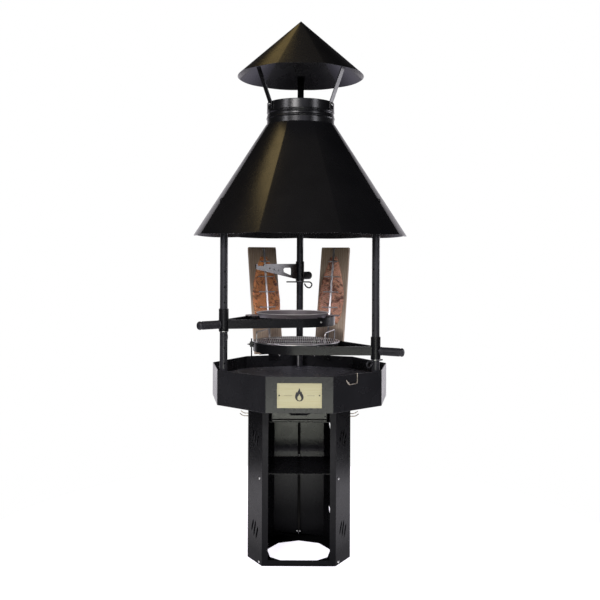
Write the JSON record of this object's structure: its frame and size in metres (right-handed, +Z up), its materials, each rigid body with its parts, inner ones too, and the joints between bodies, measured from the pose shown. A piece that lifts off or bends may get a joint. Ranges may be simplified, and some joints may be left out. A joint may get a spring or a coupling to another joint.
{
  "type": "outdoor grill with smoke hood",
  "caption": "Standing nine-sided wood grill: fire bowl on a cabinet, posts carrying a smoke hood with rain cap, height-adjustable swing arms, roasting planks.",
  "frame": {"origin": "on the floor, below the centre line of the fire bowl and hood", "axes": "+Z up, -Y towards the front (name plate and doorway), +X to the right seen from the front"},
  "size_m": [0.9606, 0.9663, 2.397],
  "materials": {
    "black_coat": "fine-textured satin black powder coat",
    "zinc_fasteners": "bright zinc plate",
    "hook_wire": "plain drawn wire",
    "brass_plate": "brushed, pale",
    "grip_rubber": "matt, moulded",
    "pan_steel": "seasoned dark steel, worn bright at the rim",
    "stainless_wire": "satin stainless",
    "plank_wood": "planed, weathered, unfinished",
    "salmon": "roasted, moist, charred in patches"
  },
  "bodies": {
    "root": {"base_shell_left": "black_coat", "base_shell_right": "black_coat", "base_floor_ring": "black_coat", "storage_shelf": "black_coat", "drawer_housing": "black_coat", "brazier_walls": "black_coat", "brazier_floor": "black_coat", "name_plate": "brass_plate", "plate_screw_left": "zinc_fasteners", "plate_screw_right": "zinc_fasteners", "post_left": "black_coat", "post_right": "black_coat", "post_rear": "black_coat", "hood": "black_coat", "chimney_collar": "black_coat", "cap_strut_left": "black_coat", "cap_strut_right": "black_coat", "cap_strut_rear": "black_coat", "rain_cap": "black_coat", "hood_bolt_left": "zinc_fasteners", "hood_bolt_right": "zinc_fasteners", "hood_bolt_rear": "zinc_fasteners", "strut_screw_left": "zinc_fasteners", "strut_screw_right": "zinc_fasteners", "strut_screw_rear": "zinc_fasteners", "tool_hooks_left": "hook_wire", "tool_hooks_right": "hook_wire", "base_screw_lower_left": "zinc_fasteners", "base_screw_lower_right": "zinc_fasteners", "base_screw_upper_left": "zinc_fasteners", "base_screw_upper_right": "zinc_fasteners", "seam_bolt": "zinc_fasteners"},
    "pan_arm_carriage": {"pan_arm_washer": "zinc_fasteners"},
    "pan_arm": {"pan_arm_frame": "black_coat", "pan_arm_grip": "grip_rubber", "pan_arm_clip": "black_coat", "pan_clip_bolt": "zinc_fasteners"},
    "griddle": {"griddle_pan": "pan_steel"},
    "grate_arm_carriage": {"grate_arm_washer": "zinc_fasteners"},
    "grate_arm": {"grate_arm_frame": "black_coat", "grate_arm_grip": "grip_rubber"},
    "wing_screw": {"grate_wing_screw": "zinc_fasteners"},
    "grate": {"cooking_grate": "stainless_wire"},
    "pot_arm_carriage": {"pot_arm_washer": "zinc_fasteners"},
    "pot_arm": {"pot_arm_blade": "black_coat", "pot_arm_grip": "grip_rubber"},
    "pan_pin": {"pan_arm_pin": "zinc_fasteners"},
    "grate_pin": {"grate_arm_pin": "zinc_fasteners"},
    "pot_pin": {"pot_arm_pin": "zinc_fasteners"},
    "drawer": {"ash_drawer": "black_coat"},
    "ember_plate": {"ember_grate": "black_coat"},
    "hook": {"rim_hook": "hook_wire"},
    "plank_board_left": {"plank_left": "plank_wood", "plank_holder_left": "black_coat", "salmon_fillet_left": "salmon"},
    "rack_left": {"fish_rack_left": "stainless_wire"},
    "plank_board_right": {"plank_right": "plank_wood", "plank_holder_right": "black_coat", "salmon_fillet_right": "salmon"},
    "rack_right": {"fish_rack_right": "stainless_wire"}
  },
  "joints": [
    {"name": "pan_arm_height", "type": "slide", "parent": "root", "child": "pan_arm_carriage", "axis": [0, 0, 1], "range_m": [0, 0.13]},
    {"name": "pan_arm_swing", "type": "hinge", "parent": "pan_arm_carriage", "child": "pan_arm", "pos_m": [-0.32649, -0.1885, 1], "axis": [0, 0, 1], "range_deg": [-180, 5]},
    {"name": "griddle_lift", "type": "slide", "parent": "pan_arm", "child": "griddle", "axis": [0, 0, 1], "range_m": [0, 0.1]},
    {"name": "grate_arm_height", "type": "slide", "parent": "root", "child": "grate_arm_carriage", "axis": [0, 0, 1], "range_m": [0, 0.015]},
    {"name": "grate_arm_swing", "type": "hinge", "parent": "grate_arm_carriage", "child": "grate_arm", "pos_m": [0.32649, -0.1885, 0.9], "axis": [0, 0, 1], "range_deg": [-8, 180]},
    {"name": "grate_lift", "type": "slide", "parent": "grate_arm", "child": "grate", "axis": [0, 0, 1], "range_m": [0, 0.015]},
    {"name": "wing_screw_turn", "type": "hinge", "parent": "grate_arm", "child": "wing_screw", "pos_m": [-0.22444, -0.00002, 0.9333], "axis": [-1, 0, 0], "continuous": true},
    {"name": "pot_arm_height", "type": "slide", "parent": "root", "child": "pot_arm_carriage", "axis": [0, 0, 1], "range_m": [0, 0.13]},
    {"name": "pot_arm_swing", "type": "hinge", "parent": "pot_arm_carriage", "child": "pot_arm", "pos_m": [0, 0.377, 1.2], "axis": [0, 0, 1], "range_deg": [-25, 95]},
    {"name": "pan_pin_pull", "type": "slide", "parent": "root", "child": "pan_pin", "axis": [0.342, -0.9397, 0], "range_m": [0, 0.07]},
    {"name": "grate_pin_pull", "type": "slide", "parent": "root", "child": "grate_pin", "axis": [-0.7071, -0.7071, 0], "range_m": [0, 0.07]},
    {"name": "pot_pin_pull", "type": "slide", "parent": "root", "child": "pot_pin", "axis": [1, 0, 0], "range_m": [0, 0.09]},
    {"name": "ash_drawer_slide", "type": "slide", "parent": "root", "child": "drawer", "axis": [0, -1, 0], "range_m": [0, 0.25]},
    {"name": "ember_grate_lift", "type": "slide", "parent": "root", "child": "ember_plate", "axis": [0, 0, 1], "range_m": [0, 0.05]},
    {"name": "rim_hook_lift", "type": "slide", "parent": "root", "child": "hook", "axis": [0, 0, 1], "range_m": [0, 0.05]},
    {"name": "plank_left_lift", "type": "slide", "parent": "root", "child": "plank_board_left", "axis": [0, 0, 1], "range_m": [0, 0.03]},
    {"name": "fish_rack_left_pull", "type": "slide", "parent": "plank_board_left", "child": "rack_left", "axis": [0.3914, -0.9002, 0.1908], "range_m": [0, 0.04]},
    {"name": "plank_right_lift", "type": "slide", "parent": "root", "child": "plank_board_right", "axis": [0, 0, 1], "range_m": [0, 0.03]},
    {"name": "fish_rack_right_pull", "type": "slide", "parent": "plank_board_right", "child": "rack_right", "axis": [-0.3677, -0.9101, 0.1908], "range_m": [0, 0.04]}
  ]
}
